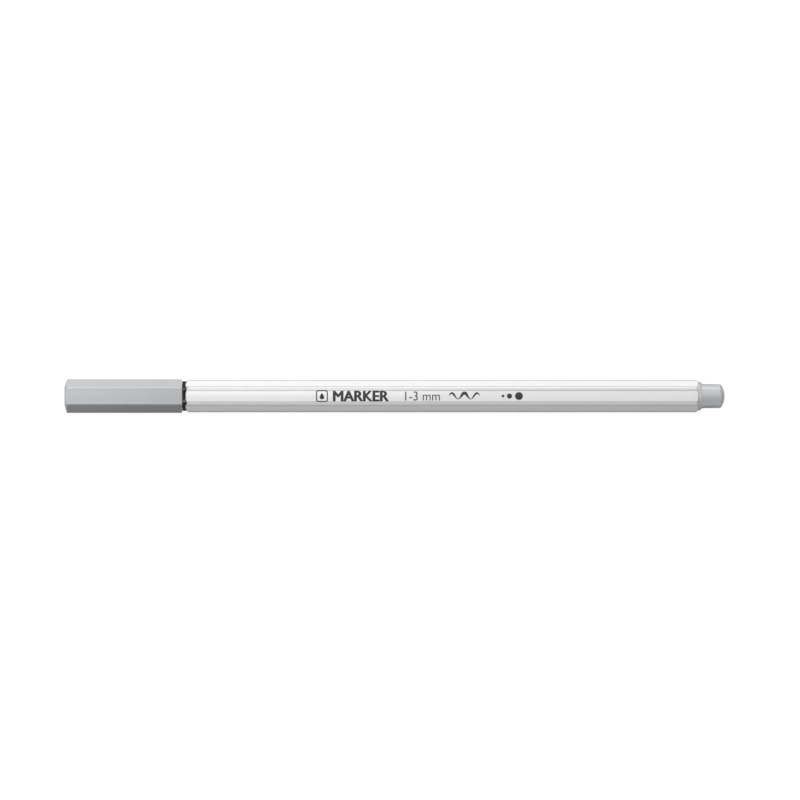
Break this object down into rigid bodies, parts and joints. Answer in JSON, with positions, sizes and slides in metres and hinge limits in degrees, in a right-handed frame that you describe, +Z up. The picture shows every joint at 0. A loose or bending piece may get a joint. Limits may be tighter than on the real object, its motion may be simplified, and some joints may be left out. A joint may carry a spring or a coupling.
{
  "type": "calligraphy marker",
  "caption": "Hexagonal disposable marker with a flexible brush nib, a pull-off cap, a black collar and a round stepped end plug, lying on one flat.",
  "frame": {"origin": "on the surface that the pen lies on, under the middle of its length", "axes": "+X along the pen from the cap's closed end to the end plug, +Z up through the top flat, +Y across two corners"},
  "size_m": [0.167, 0.0086, 0.0075],
  "materials": {
    "grey_plastic": "satin",
    "milky_plastic": "satin",
    "white_plastic": "gloss",
    "black_plastic": "gloss",
    "inked_fibre": "matte",
    "inked_core": "matte",
    "film": "satin"
  },
  "bodies": {
    "pen": {"barrel": "white_plastic", "front_section": "black_plastic", "nib_stem": "inked_fibre", "ink_reservoir": "inked_core", "reservoir_film": "film", "end_plug": "grey_plastic"},
    "cap": {"cap_shell": "grey_plastic", "cap_inner_sleeve": "milky_plastic"},
    "nib_tip": {"brush_tip": "inked_fibre"}
  },
  "joints": [
    {"name": "cap_pull", "type": "slide", "parent": "pen", "child": "cap", "axis": [-1, 0, 0], "range_m": [0, 0.04]},
    {"name": "nib_flex", "type": "hinge", "parent": "pen", "child": "nib_tip", "pos_m": [-0.0721, 0, 0.00376], "axis": [0, 1, 0], "range_deg": [-14, 14], "stiffness_Nm_per_rad": 0.008}
  ]
}
